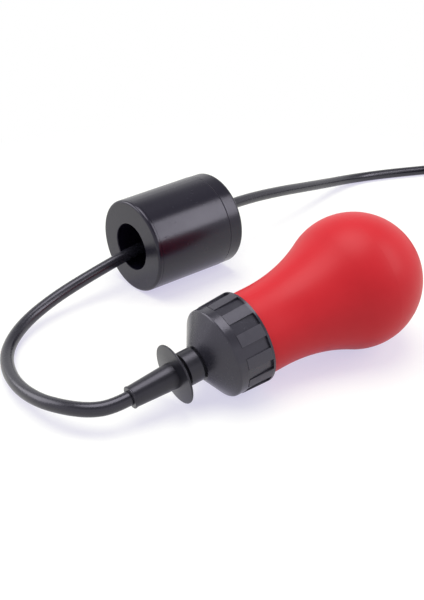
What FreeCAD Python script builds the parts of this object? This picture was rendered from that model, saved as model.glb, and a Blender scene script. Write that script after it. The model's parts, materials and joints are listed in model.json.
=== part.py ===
import FreeCAD, Part
import Sketcher
import math
import os

# Cable float switch: a red bulb float with a screwed clamping cap and a rubber boot, a sealed
# capsule with a ball-worked microswitch inside, and a round counterweight threaded on the cable.
# Lengths are in millimetres. +Z is up and the floor is Z = 0. The origin is the middle of the
# float's footprint, with the float's axis along +X from its cable end to its bulb.
# Pieces of the float are drawn along X, from the boot's cable end at X = 0 to the bulb, and are
# then tilted as the float lies: on its bulb and on the rim of its cap.

DRIVING_SIZES = (
    ("cord_r", 4.25, "outer radius of the three-core rubber cable"),
    ("cord_fit", 0.1, "radial clearance round the cable in the pieces it passes"),
    ("core_r", 1.2, "outer radius of one insulated core"),
    ("fit", 0.3, "clearance between curved pieces that seat in each other"),
    ("boot_taper_len", 28.0, "cable end of the boot to the face of its flange disc"),
    ("boot_tip_r", 6.4, "boot radius at the cable end"),
    ("boot_root_r", 7.9, "boot radius where the taper meets the disc"),
    ("boot_lip_r", 6.7, "radius of the bead round the cable end"),
    ("boot_lip_len", 1.3, "length of that bead"),
    ("disc_r", 18.3, "radius of the flange disc"),
    ("disc_edge_t", 1.1, "thickness of the disc at its rim"),
    ("disc_root_t", 2.4, "thickness of the disc at its root"),
    ("disc_dish", 0.9, "how far the rim leans back from the taper's side"),
    ("groove_len", 1.5, "length of each groove behind the disc"),
    ("groove_r", 7.5, "radius at the bottom of those grooves"),
    ("bead_len", 1.2, "length of the bead between the grooves"),
    ("bead_r", 9.4, "radius of that bead"),
    ("collar_len", 9.3, "length of the boot's collar"),
    ("collar_r", 10.3, "radius of the collar"),
    ("collar_round", 1.0, "rounding of the collar's edges"),
    ("boot_neck_r", 8.6, "radius of the boot where it goes through the cap"),
    ("boot_flange_r", 17.4, "radius of the boot's clamped flange"),
    ("boot_flange_t", 3.4, "thickness of that flange"),
    ("cap_gap", 0.9, "gap between the collar and the tip of the cap's cone"),
    ("cap_cone_len", 11.3, "length of the cap's cone"),
    ("cap_tip_r", 11.0, "radius of the small flat at the tip of the cone"),
    ("cap_rim_r", 27.4, "radius of the cap where the cone meets the skirt"),
    ("cap_rim_round", 1.8, "rounding of that rim"),
    ("cap_band_len", 5.5, "length of the plain band behind the rim"),
    ("cap_skirt_len", 23.1, "length of the cap's skirt"),
    ("cap_band_r", 27.6, "radius of the plain band at the grip pads"),
    ("pad_front_r", 27.9, "radius of the grip pads at the band"),
    ("pad_back_r", 28.9, "radius of the grip pads at the back of the cap"),
    ("pad_gap_depth", 0.45, "depth of the gaps between the pads"),
    ("pad_count", 12, "number of grip pads"),
    ("pad_rim_len", 1.3, "plain ring left at the back of the cap behind the gaps"),
    ("pad_phase", 5.5, "degrees from the cap's top to the middle of the nearest gap"),
    ("cap_bore_r", 23.6, "bore of the cap's skirt"),
    ("cap_seat_r", 17.8, "radius of the flat seat inside the cap"),
    ("cap_seat_slope", 3.6, "length of the slope from the seat out to the bore"),
    ("washer_t", 1.5, "thickness of the thrust washer"),
    ("seal_t", 1.5, "thickness of the neck seal"),
    ("lid_flange_t", 2.0, "thickness of the capsule lid's flange"),
    ("lid_plug_len", 3.0, "length of the lid's plug inside the capsule"),
    ("capsule_flange_t", 2.0, "thickness of the capsule's flange"),
    ("capsule_flange_r", 23.0, "radius of the capsule's and the lid's flanges"),
    ("capsule_r", 19.7, "outer radius of the capsule"),
    ("capsule_wall", 1.8, "wall of the capsule"),
    ("capsule_len", 76.0, "length of the capsule from its flange to its closed end"),
    ("spigot_r", 23.2, "outer radius of the float's spigot inside the cap"),
    ("spigot_bore_r", 20.1, "bore of the spigot"),
    ("neck_r", 26.2, "outer radius of the float's neck"),
    ("neck_straight", 13.2, "straight length of the neck behind the cap"),
    ("bulb_r", 43.2, "outer radius of the bulb"),
    ("bulb_offset", 70.7, "start of the neck's flare to the middle of the bulb"),
    ("shell_wall", 3.0, "wall of the float"),
    ("ball_r", 6.0, "radius of the steel ball"),
    ("ball_run", 18.0, "travel of the ball along the float's axis"),
    ("ball_lever_gap", 0.15, "gap between the ball and the lever at both ends of the travel"),
    ("ball_reach", 14.0, "lever hinge to the ball at the end of its travel"),
    ("lever_len", 36.0, "length of the lever"),
    ("lever_w", 6.0, "width of the lever"),
    ("lever_t", 0.7, "thickness of the lever"),
    ("lever_angle", 6.5, "degrees the lever hangs below its pressed position"),
    ("lever_eye_r", 1.1, "outer radius of the lever's rolled eye"),
    ("hinge_pin_r", 0.6, "radius of the hinge pin"),
    ("pin_fit", 0.06, "radial clearance of the eye on its pin"),
    ("case_start", 42.0, "front end of the cradle to the microswitch"),
    ("case_len", 20.0, "length of the microswitch"),
    ("case_h", 10.2, "height of the microswitch"),
    ("case_t", 8.4, "thickness of the microswitch"),
    ("case_gap", 1.2, "pressed lever to the microswitch"),
    ("plunger_reach", 7.0, "lever hinge to the plunger"),
    ("plunger_r", 0.8, "radius of the plunger"),
    ("plunger_len", 4.4, "length of the plunger"),
    ("blade_w", 3.2, "width of a terminal blade"),
    ("blade_t", 0.5, "thickness of a terminal blade"),
    ("blade_h", 3.6, "length of a terminal blade outside the microswitch"),
    ("blade_pitch", 7.2, "distance between terminal blades"),
    ("cradle_len", 69.0, "length of the cradle halves"),
    ("cheek_t", 2.0, "thickness of the cheeks beside the microswitch"),
    ("cheek_h", 9.0, "height of the cheeks above the cradle"),
    ("jacket_in", 10.0, "length of jacketed cable lying in the cradle"),
    ("clamp_len", 6.0, "length of the cable clamp bar along the cable"),
    ("clamp_t", 2.6, "thickness of the clamp bar over the cable"),
    ("clamp_w", 22.0, "width of the clamp bar"),
    ("screw_r", 1.1, "radius of the small screws"),
    ("screw_head_r", 2.0, "radius of their heads"),
    ("screw_head_t", 1.4, "thickness of their heads"),
    ("weight_front_r", 33.4, "outer radius of the counterweight at its front face"),
    ("weight_rear_r", 34.5, "outer radius its taper reaches at the rear"),
    ("weight_len", 75.6, "length of the counterweight"),
    ("weight_bore_r", 16.9, "bore of the counterweight"),
    ("weight_wall", 2.6, "wall of the counterweight's plastic shell"),
    ("weight_face_round", 2.0, "rounding of the counterweight's front edge"),
    ("weight_lid_len", 12.0, "length of the counterweight's lid"),
    ("weight_lid_step", 0.25, "how much smaller the lid is in radius than the shell"),
    ("weight_lid_round", 2.2, "rounding of the lid's edge"),
    ("weight_lip", 4.0, "length of the lid's spigot inside the shell"),
    ("weight_x", -21.4, "position of the middle of the counterweight's front face"),
    ("weight_y", 139.0, "position of the middle of the counterweight's front face"),
    ("weight_yaw", 6.1, "degrees between the counterweight's axis and the float's"),
    ("coil_x", 360.0, "position of the middle of the stored coil"),
    ("coil_y", 98.0, "position of the middle of the stored coil"),
    ("coil_mean_r", 51.0, "radius at the middle of the coil's turns"),
    ("end_core_len", 30.0, "length of the stripped cores at the cable's far end"),
    ("ferrule_r", 0.9, "radius of the wire-end ferrules"),
    ("ferrule_collar_r", 1.5, "radius of the ferrules' collars"),
    ("ferrule_len", 8.0, "bare length of the ferrules"),
)

CORD_TURNS_ACROSS = 5
CORD_LAYERS = 2
TOP_TURNS = 3


class Size:
    """A number together with the formula that gives it from the sheet's cells."""

    def __init__(self, value, text):
        self.value = value
        self.text = text

    def joined(self, other, sign, value):
        return Size(value, "(%s %s %s)" % (self.text, sign, other.text))

    def __add__(self, other):
        other = as_size(other)
        return self.joined(other, "+", self.value + other.value)

    def __sub__(self, other):
        other = as_size(other)
        return self.joined(other, "-", self.value - other.value)

    def __mul__(self, other):
        other = as_size(other)
        return self.joined(other, "*", self.value * other.value)

    def __truediv__(self, other):
        other = as_size(other)
        return self.joined(other, "/", self.value / other.value)


def as_size(number):
    if isinstance(number, Size):
        return number
    return Size(float(number), "(%s)" % repr(float(number)))


def root(square):
    return Size(math.sqrt(square.value), "sqrt(%s)" % square.text)


def sine(degrees):
    return Size(math.sin(math.radians(degrees.value)), "sin(%s * 1 deg)" % degrees.text)


def cosine(degrees):
    return Size(math.cos(math.radians(degrees.value)), "cos(%s * 1 deg)" % degrees.text)


def tangent(degrees):
    return Size(math.tan(math.radians(degrees.value)), "tan(%s * 1 deg)" % degrees.text)


doc = FreeCAD.newDocument("cable_float_switch")
sheet = doc.addObject("Spreadsheet::Sheet", "Sizes")
for row, (alias, number, note) in enumerate(DRIVING_SIZES, start=1):
    sheet.set("A%d" % row, note)
    sheet.set("B%d" % row, str(number))
    sheet.setAlias("B%d" % row, alias)
doc.recompute()


class Sizes:
    """The sheet's cells by name, each as a Size."""


dim = Sizes()
for alias, number, note in DRIVING_SIZES:
    setattr(dim, alias, Size(float(sheet.get(alias)), "Sizes." + alias))

ORIGIN = FreeCAD.Vector(0, 0, 0)
ALONG = FreeCAD.Vector(1, 0, 0)
ACROSS = FreeCAD.Vector(0, 1, 0)
UP = FreeCAD.Vector(0, 0, 1)

# Stations along the float's axis, from the boot's cable end.
disc_u = dim.boot_taper_len
groove_u = disc_u + dim.disc_root_t
bead_u = groove_u + dim.groove_len
groove_two_u = bead_u + dim.bead_len
collar_u = groove_two_u + dim.groove_len
collar_end_u = collar_u + dim.collar_len
cap_tip_u = collar_end_u + dim.cap_gap
cap_rim_u = cap_tip_u + dim.cap_cone_len
cap_band_u = cap_rim_u + dim.cap_band_len
cap_back_u = cap_rim_u + dim.cap_skirt_len
neck_u = cap_back_u + dim.fit
flare_u = cap_back_u + dim.neck_straight
bulb_u = flare_u + dim.bulb_offset
cap_seat_u = cap_rim_u - (dim.cap_rim_r - dim.cap_seat_r) * 0.25
washer_end_u = cap_seat_u + dim.washer_t
boot_end_u = washer_end_u + dim.boot_flange_t
lid_plug_u = boot_end_u + dim.lid_flange_t
capsule_u = lid_plug_u + dim.capsule_flange_t
spigot_u = capsule_u + dim.seal_t
cradle_u = lid_plug_u + dim.lid_plug_len + dim.fit
capsule_bore_r = dim.capsule_r - dim.capsule_wall

# The flare is an arc that touches the straight neck and the bulb.
flare_r = (dim.bulb_offset * dim.bulb_offset - dim.bulb_r * dim.bulb_r + dim.neck_r * dim.neck_r) / (
    (dim.bulb_r - dim.neck_r) * 2)
flare_span = dim.bulb_r + flare_r
flare_touch_u = bulb_u - dim.bulb_r * dim.bulb_offset / flare_span
flare_touch_r = dim.bulb_r * (dim.neck_r + flare_r) / flare_span
inner_bulb_r = dim.bulb_r - dim.shell_wall
inner_touch_u = bulb_u - inner_bulb_r * dim.bulb_offset / flare_span
inner_touch_r = inner_bulb_r * (dim.neck_r + flare_r) / flare_span

# The float lies on its bulb and on the rounding of its cap's rim.
cone_turn = math.atan2(dim.cap_rim_r.value - dim.cap_tip_r.value, dim.cap_cone_len.value)
band_turn = math.atan2(dim.cap_band_r.value - dim.cap_rim_r.value, dim.cap_band_len.value)
rim_round = dim.cap_rim_round.value
rim_reach = rim_round * math.tan((cone_turn - band_turn) / 2)
rim_centre_u = cap_rim_u.value + rim_reach * math.cos(band_turn) + rim_round * math.sin(band_turn)
rim_centre_r = dim.cap_rim_r.value + rim_reach * math.sin(band_turn) - rim_round * math.cos(band_turn)
contact_span = bulb_u.value - rim_centre_u
contact_reach = math.hypot(contact_span, rim_centre_r)
tilt = (math.asin((dim.bulb_r.value - rim_round) / contact_reach)
        - math.atan2(rim_centre_r, contact_span))
foot_low_x = -dim.boot_lip_r.value * math.sin(tilt)
foot_high_x = bulb_u.value * math.cos(tilt) + dim.bulb_r.value
float_base = FreeCAD.Vector(
    -(foot_low_x + foot_high_x) / 2, 0, dim.bulb_r.value - bulb_u.value * math.sin(tilt))
float_turn = FreeCAD.Rotation(ACROSS, -math.degrees(tilt))
FLOAT_POSE = FreeCAD.Placement(float_base, float_turn)
# The capsule's inside is turned a quarter round the float's axis, with the lever to one side.
INNER_POSE = FLOAT_POSE.multiply(FreeCAD.Placement(ORIGIN, FreeCAD.Rotation(ALONG, 90)))

# The slightly tapered counterweight lies on its side beside the float.
weight_taper = (dim.weight_rear_r - dim.weight_front_r) / dim.weight_len
weight_rise = math.atan(weight_taper.value)
WEIGHT_POSE = FreeCAD.Placement(
    FreeCAD.Vector(dim.weight_x.value, dim.weight_y.value,
                   dim.weight_front_r.value * math.cos(weight_rise)),
    FreeCAD.Rotation(UP, dim.weight_yaw.value).multiply(
        FreeCAD.Rotation(ACROSS, -math.degrees(weight_rise))))

nodes = {}


def keep(node, feature, pose):
    """Names a finished sub-part and puts it where it lies."""
    feature.Label = node
    feature.Placement = pose
    nodes[node] = feature


def bind(feature, **formulas):
    for name, formula in formulas.items():
        feature.setExpression(name.replace("_at_", ".Base."), as_size(formula).text)


def body_plane(body, role):
    for plane in body.Origin.OriginFeatures:
        if plane.Role == role:
            return plane
    raise ValueError("no plane " + role)


def new_sketch(body, name, role):
    sketch = body.newObject("Sketcher::SketchObject", name)
    sketch.AttachmentSupport = [(body_plane(body, role), "")]
    sketch.MapMode = "FlatFace"
    return sketch


class Corner:
    """A corner of an outline: along the axis, out from it, its rounding, and the radius of the
    arc that leads to it when the side before it isn't straight (negative bows the other way)."""

    def __init__(self, along, out, rounding=None, arc=None, bows_out=True):
        self.along = as_size(along)
        self.out = as_size(out)
        self.rounding = rounding
        self.arc = arc
        self.bows_out = bows_out
        self.place = FreeCAD.Vector(self.along.value, self.out.value, 0)


def circle_arc(centre, start, end):
    """The shorter arc round centre between two points, with which end of it each point is."""
    ring = Part.Circle(centre, UP, (start - centre).Length)
    first = math.atan2(start.y - centre.y, start.x - centre.x)
    last = math.atan2(end.y - centre.y, end.x - centre.x)
    if (last - first) % (2 * math.pi) < math.pi:
        return Part.ArcOfCircle(ring, first, last), 1, 2
    return Part.ArcOfCircle(ring, last, first), 2, 1


def side_arc(start, end, radius, bows_out):
    """An arc of the given radius between two points, bowed away from the axis or towards it."""
    middle = (start + end) * 0.5
    chord = end - start
    normal = FreeCAD.Vector(-chord.y, chord.x, 0).normalize()
    if (normal.y > 0) == bows_out:
        normal = normal * -1
    rise = math.sqrt(max(radius * radius - chord.Length ** 2 / 4, 0))
    return circle_arc(middle + normal * rise, start, end)


def fix_point(sketch, geometry, end, corner):
    """Ties a point to its formulas, or to the axes where a coordinate is nought."""
    for kind, size, axis in (("DistanceX", corner.along, -2), ("DistanceY", corner.out, -1)):
        if size.value == 0:
            sketch.addConstraint(Sketcher.Constraint("PointOnObject", geometry, end, axis))
        else:
            number = sketch.addConstraint(
                Sketcher.Constraint(kind, -1, 1, geometry, end, size.value))
            sketch.setExpression("Constraints[%d]" % number, size.text)


def draw_outline(sketch, corners):
    """Draws a closed outline through the corners, every size tied to the sheet."""
    count = len(corners)
    entry = []
    leave = []
    centres = []
    for index, corner in enumerate(corners):
        if corner.rounding is None:
            entry.append(corner.place)
            leave.append(corner.place)
            centres.append(None)
            continue
        back = (corners[index - 1].place - corner.place).normalize()
        ahead = (corners[(index + 1) % count].place - corner.place).normalize()
        half = back.getAngle(ahead) / 2
        reach = corner.rounding.value / math.tan(half)
        entry.append(corner.place + back * reach)
        leave.append(corner.place + ahead * reach)
        centres.append(corner.place + (back + ahead).normalize() * (corner.rounding.value / math.sin(half)))
    sides = []
    for index, corner in enumerate(corners):
        start = leave[index - 1]
        end = entry[index]
        if corner.arc is None:
            sides.append((sketch.addGeometry(Part.LineSegment(start, end)), 1, 2))
            continue
        curve, start_end, end_end = side_arc(start, end, corner.arc.value, corner.bows_out)
        number = sketch.addGeometry(curve)
        radius = sketch.addConstraint(Sketcher.Constraint("Radius", number, corner.arc.value))
        sketch.setExpression("Constraints[%d]" % radius, corner.arc.text)
        sides.append((number, start_end, end_end))
    for index, corner in enumerate(corners):
        arriving, _, arrive_end = sides[index]
        leaving, leave_end, _ = sides[(index + 1) % count]
        if corner.rounding is None:
            sketch.addConstraint(
                Sketcher.Constraint("Coincident", arriving, arrive_end, leaving, leave_end))
            fix_point(sketch, arriving, arrive_end, corner)
            continue
        curve, first, last = circle_arc(centres[index], entry[index], leave[index])
        bend = sketch.addGeometry(curve)
        mark = sketch.addGeometry(Part.Point(corner.place), True)
        sketch.addConstraint(Sketcher.Constraint("Tangent", arriving, arrive_end, bend, first))
        sketch.addConstraint(Sketcher.Constraint("Tangent", bend, last, leaving, leave_end))
        sketch.addConstraint(Sketcher.Constraint("PointOnObject", mark, 1, arriving))
        sketch.addConstraint(Sketcher.Constraint("PointOnObject", mark, 1, leaving))
        radius = sketch.addConstraint(Sketcher.Constraint("Radius", bend, corner.rounding.value))
        sketch.setExpression("Constraints[%d]" % radius, corner.rounding.text)
        fix_point(sketch, mark, 1, corner)


def turned(node, corners, pose):
    """A body of revolution about X from an outline in the XZ plane."""
    body = doc.addObject("PartDesign::Body", node + "_body")
    sketch = new_sketch(body, node + "_section", "XZ_Plane")
    draw_outline(sketch, corners)
    turn = body.newObject("PartDesign::Revolution", node + "_turn")
    turn.Profile = sketch
    turn.ReferenceAxis = (sketch, ["H_Axis"])
    turn.Angle = 360
    body.Tip = turn
    doc.recompute()
    keep(node, body, pose)
    return body


def box(name, start, end):
    """A block between two corners given as formulas."""
    block = doc.addObject("Part::Box", name)
    low = [as_size(value) for value in start]
    high = [as_size(value) for value in end]
    bind(block, Length=high[0] - low[0], Width=high[1] - low[1], Height=high[2] - low[2],
         Placement_at_x=low[0], Placement_at_y=low[1], Placement_at_z=low[2])
    return block


def rod(name, radius, length, place, direction):
    """A round bar from place along ALONG, ACROSS or UP."""
    bar = doc.addObject("Part::Cylinder", name)
    bar.Placement.Rotation = FreeCAD.Rotation(UP, direction)
    bind(bar, Radius=radius, Height=length,
         Placement_at_x=place[0], Placement_at_y=place[1], Placement_at_z=place[2])
    return bar


def joined(name, shapes):
    feature = doc.addObject("Part::MultiFuse", name)
    feature.Shapes = shapes
    return feature


def cut(name, base, tool):
    feature = doc.addObject("Part::Cut", name)
    feature.Base = base
    feature.Tool = tool
    return feature


def common(name, shapes):
    feature = doc.addObject("Part::MultiCommon", name)
    feature.Shapes = shapes
    return feature


def single(name, shape):
    """One primitive as a piece of its own, so that the piece can be placed as a whole."""
    feature = doc.addObject("Part::Refine", name)
    feature.Source = shape
    return feature


def washer(node, inner, outer, start, end, pose):
    """A flat ring round the float's axis."""
    rim = rod(node + "_rim", outer, end - start, (start, 0, 0), ALONG)
    hole = rod(node + "_hole", inner, end - start, (start, 0, 0), ALONG)
    keep(node, cut(node + "_ring", rim, hole), pose)


def make_boot():
    bore = dim.cord_r + dim.cord_fit
    turned("cable_boot", [
        Corner(0, bore),
        Corner(0, dim.boot_lip_r, rounding=dim.boot_lip_len * 0.3),
        Corner(dim.boot_lip_len, dim.boot_lip_r, rounding=dim.boot_lip_len * 0.3),
        Corner(dim.boot_lip_len, dim.boot_tip_r),
        Corner(disc_u, dim.boot_root_r),
        Corner(disc_u + dim.disc_dish, dim.disc_r, rounding=dim.disc_edge_t * 0.4),
        Corner(disc_u + dim.disc_dish + dim.disc_edge_t, dim.disc_r, rounding=dim.disc_edge_t * 0.4),
        Corner(groove_u, dim.groove_r),
        Corner(bead_u, dim.groove_r),
        Corner(bead_u, dim.bead_r, rounding=dim.bead_len * 0.3),
        Corner(groove_two_u, dim.bead_r, rounding=dim.bead_len * 0.3),
        Corner(groove_two_u, dim.groove_r),
        Corner(collar_u, dim.groove_r),
        Corner(collar_u, dim.collar_r, rounding=dim.collar_round * 0.5),
        Corner(collar_end_u, dim.collar_r, rounding=dim.collar_round),
        Corner(collar_end_u, dim.boot_neck_r),
        Corner(washer_end_u, dim.boot_neck_r),
        Corner(washer_end_u, dim.boot_flange_r),
        Corner(boot_end_u, dim.boot_flange_r),
        Corner(boot_end_u, bore),
    ], FLOAT_POSE)


def make_cap():
    hole = dim.boot_neck_r + dim.fit
    body = turned("clamping_cap", [
        Corner(cap_tip_u, hole),
        Corner(cap_tip_u, dim.cap_tip_r, rounding=dim.cap_rim_round * 0.3),
        Corner(cap_rim_u, dim.cap_rim_r, rounding=dim.cap_rim_round),
        Corner(cap_band_u, dim.cap_band_r),
        Corner(cap_band_u, dim.pad_front_r),
        Corner(cap_back_u, dim.pad_back_r),
        Corner(cap_back_u, dim.cap_bore_r),
        Corner(cap_seat_u + dim.cap_seat_slope, dim.cap_bore_r),
        Corner(cap_seat_u, dim.cap_seat_r),
        Corner(cap_seat_u, hole),
    ], FLOAT_POSE)
    # One gap between two pads, repeated round the skirt.
    gap = new_sketch(body, "pad_gap_section", "YZ_Plane")
    half_gap = Size(90.0, "90") / dim.pad_count
    sides = (dim.pad_phase + half_gap, dim.pad_phase - half_gap)
    floor_r = dim.pad_front_r - dim.pad_gap_depth
    outside_r = dim.pad_back_r + dim.pad_gap_depth
    corners = []
    for radius, side in ((floor_r, 0), (outside_r, 0), (outside_r, 1), (floor_r, 1)):
        across = radius * sine(sides[side]) * -1
        out = radius * cosine(sides[side])
        corners.append((FreeCAD.Vector(across.value, out.value, 0), across, out))
    count = len(corners)
    for index in range(count):
        gap.addGeometry(Part.LineSegment(corners[index - 1][0], corners[index][0]))
    for index, (place, across, out) in enumerate(corners):
        gap.addConstraint(Sketcher.Constraint("Coincident", index, 2, (index + 1) % count, 1))
        for kind, size in (("DistanceX", across), ("DistanceY", out)):
            number = gap.addConstraint(Sketcher.Constraint(kind, -1, 1, index, 2, size.value))
            gap.setExpression("Constraints[%d]" % number, size.text)
    bind_offset = cap_band_u
    gap.setExpression("AttachmentOffset.Base.z", bind_offset.text)
    pocket = body.newObject("PartDesign::Pocket", "pad_gap")
    pocket.Profile = gap
    pocket.Reversed = True
    pocket.setExpression("Length", (cap_back_u - cap_band_u - dim.pad_rim_len).text)
    body.Tip = pocket
    doc.recompute()
    ring = body.newObject("PartDesign::PolarPattern", "pad_gaps")
    ring.Originals = [pocket]
    ring.Axis = (body_axis(body, "X_Axis"), [""])
    ring.Angle = 360
    ring.setExpression("Occurrences", dim.pad_count.text)
    body.Tip = ring
    doc.recompute()


def body_axis(body, role):
    for axis in body.Origin.OriginFeatures:
        if axis.Role == role:
            return axis
    raise ValueError("no axis " + role)


def make_shell():
    bore_end = neck_u + dim.shell_wall
    turned("float_shell", [
        Corner(spigot_u, dim.spigot_bore_r),
        Corner(spigot_u, dim.spigot_r, rounding=dim.fit * 2),
        Corner(neck_u, dim.spigot_r),
        Corner(neck_u, dim.neck_r),
        Corner(flare_u, dim.neck_r),
        Corner(flare_touch_u, flare_touch_r, arc=flare_r, bows_out=False),
        Corner(bulb_u, dim.bulb_r, arc=dim.bulb_r),
        Corner(bulb_u + dim.bulb_r, 0, arc=dim.bulb_r),
        Corner(bulb_u + inner_bulb_r, 0),
        Corner(bulb_u, inner_bulb_r, arc=inner_bulb_r),
        Corner(inner_touch_u, inner_touch_r, arc=inner_bulb_r),
        Corner(flare_u, dim.neck_r - dim.shell_wall, arc=flare_r + dim.shell_wall, bows_out=False),
        Corner(bore_end, dim.neck_r - dim.shell_wall),
        Corner(bore_end, dim.spigot_bore_r),
    ], FLOAT_POSE)


def make_capsule():
    end = capsule_u + dim.capsule_len
    turned("capsule_body", [
        Corner(lid_plug_u, capsule_bore_r),
        Corner(lid_plug_u, dim.capsule_flange_r),
        Corner(capsule_u, dim.capsule_flange_r),
        Corner(capsule_u, dim.capsule_r),
        Corner(end, dim.capsule_r, rounding=dim.capsule_wall * 2),
        Corner(end, 0),
        Corner(end - dim.capsule_wall, 0),
        Corner(end - dim.capsule_wall, capsule_bore_r, rounding=dim.capsule_wall),
    ], FLOAT_POSE)
    plug_r = capsule_bore_r - dim.fit
    bore = dim.cord_r + dim.cord_fit
    turned("capsule_lid", [
        Corner(boot_end_u, bore),
        Corner(boot_end_u, dim.capsule_flange_r),
        Corner(lid_plug_u, dim.capsule_flange_r),
        Corner(lid_plug_u, plug_r),
        Corner(lid_plug_u + dim.lid_plug_len, plug_r),
        Corner(lid_plug_u + dim.lid_plug_len, bore),
    ], FLOAT_POSE)
    washer("neck_seal", dim.capsule_r + dim.fit, dim.capsule_flange_r, capsule_u, spigot_u, FLOAT_POSE)
    washer("thrust_washer", dim.boot_neck_r + dim.fit, dim.boot_flange_r, cap_seat_u, washer_end_u,
           FLOAT_POSE)


# The lever's hinge, the ball and the microswitch, along the axis and above it.
case_u = cradle_u + dim.case_start
hinge_u = case_u + dim.case_len
seat_v = dim.case_gap + dim.lever_t
hinge_v = Size(0.0, "0") + dim.lever_t / 2
ear_len = dim.lever_eye_r * 2 + 1
ball_end_u = hinge_u - dim.ball_reach
ball_start_u = ball_end_u - dim.ball_run
ball_clear = dim.ball_r + dim.ball_lever_gap
ball_end_v = Size(0.0, "0") - ball_clear
ball_start_v = (Size(0.0, "0") - (dim.ball_reach + dim.ball_run) * tangent(dim.lever_angle)
                - ball_clear / cosine(dim.lever_angle))
ball_rise = ball_end_v - ball_start_v
ball_slope = math.degrees(math.atan2(ball_rise.value, dim.ball_run.value))
channel_r = dim.ball_r + dim.fit
cradle_r = capsule_bore_r - dim.fit


def make_cradle():
    """Two halves with the sloping ball channel between them and cheeks for the microswitch."""
    channel_dir = FreeCAD.Vector(dim.ball_run.value, 0, ball_rise.value).normalize()
    for node, side in (("cradle_left", 1), ("cradle_right", -1)):
        round_bar = rod(node + "_bar", cradle_r, dim.cradle_len, (cradle_u, 0, 0), ALONG)
        edge = Size(0.0, "0")
        reach = cradle_r * side
        low_y, high_y = (edge, reach) if side > 0 else (reach, edge)
        lower = box(node + "_lower", (cradle_u, low_y, Size(0.0, "0") - cradle_r),
                    (cradle_u + dim.cradle_len, high_y, seat_v))
        half = common(node + "_half", [round_bar, lower])
        inner_y = dim.case_t / 2
        outer_y = inner_y + dim.cheek_t
        low_y, high_y = (inner_y, outer_y) if side > 0 else (outer_y * -1, inner_y * -1)
        cheek = box(node + "_cheek", (case_u, low_y, seat_v - 1),
                    (hinge_u - dim.lever_eye_r * 4, high_y, seat_v + dim.cheek_h))
        block = joined(node + "_block", [half, cheek])
        channel = doc.addObject("Part::Cylinder", node + "_channel")
        channel.Placement.Rotation = FreeCAD.Rotation(UP, channel_dir)
        rise = ball_rise / dim.ball_run
        stretch = root(rise * rise + 1)
        bind(channel, Radius=channel_r, Height=dim.ball_run * stretch + channel_r * 2,
             Placement_at_x=ball_start_u - channel_r / stretch, Placement_at_y=0,
             Placement_at_z=ball_start_v - channel_r * rise / stretch)
        slot_y = dim.lever_w / 2 + dim.fit * 2
        slot = box(node + "_slot", (hinge_u - dim.lever_len - 1, slot_y * -1, ball_start_v),
                   (hinge_u + dim.lever_eye_r * 3, slot_y, seat_v + 1))
        trough = rod(node + "_trough", dim.cord_r + dim.cord_fit, dim.jacket_in + 1,
                     (cradle_u - 1, 0, 0), ALONG)
        way_y = dim.cord_r + dim.fit * 2
        wire_way = box(node + "_wire_way", (cradle_u + dim.jacket_in - 1, way_y * -1, dim.cord_r * -1),
                       (cradle_u + dim.jacket_in * 2.2, way_y, seat_v + 1))
        ear_room = dim.case_t / 2 + dim.fit
        pocket = box(node + "_ear_pocket",
                     (hinge_u - ear_len / 2 - dim.fit, ear_room * -1, (dim.lever_eye_r + dim.fit) * -1),
                     (hinge_u + ear_len / 2 + dim.fit, ear_room, seat_v + 1))
        tools = [channel, slot, trough, wire_way, pocket]
        for mark, place_u, place_v in CRADLE_SCREWS:
            tools.append(rod(node + "_hole_" + mark, dim.screw_r + dim.cord_fit, cradle_r * 2,
                             (place_u, cradle_r * -1, place_v), ACROSS))
            head_y = cradle_r * -1
            tools.append(rod(node + "_sink_" + mark, dim.screw_head_r + dim.fit, cradle_r * 0.45,
                             (place_u, head_y, place_v), ACROSS))
        for mark, place_u, place_v in switch_screw_places():
            tools.append(rod(node + "_switch_hole_" + mark, dim.screw_r + dim.cord_fit, outer_y * 2,
                             (place_u, outer_y * -1, place_v), ACROSS))
        for mark, place_y in clamp_screw_places():
            tools.append(rod(node + "_clamp_hole_" + mark, dim.screw_r + dim.cord_fit, dim.clamp_t * 3,
                             (cradle_u + dim.jacket_in / 2, place_y, seat_v - dim.clamp_t * 3 + 1), UP))
        keep(node, cut(node, block, joined(node + "_openings", tools)), INNER_POSE)


CRADLE_SCREWS = (
    ("front", ball_start_u - dim.ball_r * 2, dim.ball_r * -1.4),
    ("back", ball_end_u + dim.ball_r * 2, dim.ball_r * -1.7),
)


def switch_screw_places():
    spread = dim.case_len / 4
    level = seat_v + dim.case_h / 2
    middle = case_u + dim.case_len * 0.4
    return (("one", middle - spread, level), ("two", middle + spread, level))


def clamp_screw_places():
    reach = dim.clamp_w / 2 - dim.screw_head_r
    return (("left", reach), ("right", reach * -1))


def screw(name, shaft_len, place, direction, head_side):
    """A plain cheese-headed screw; the head lies before place, the shaft after it."""
    shaft = rod(name + "_shaft", dim.screw_r, shaft_len, place, direction)
    head_place = list(place)
    axis = 1 if direction == ACROSS else 2
    head_place[axis] = as_size(place[axis]) - dim.screw_head_t if head_side < 0 else (
        as_size(place[axis]) + shaft_len)
    head = rod(name + "_head", dim.screw_head_r, dim.screw_head_t, head_place, direction)
    return joined(name, [shaft, head])


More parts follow.
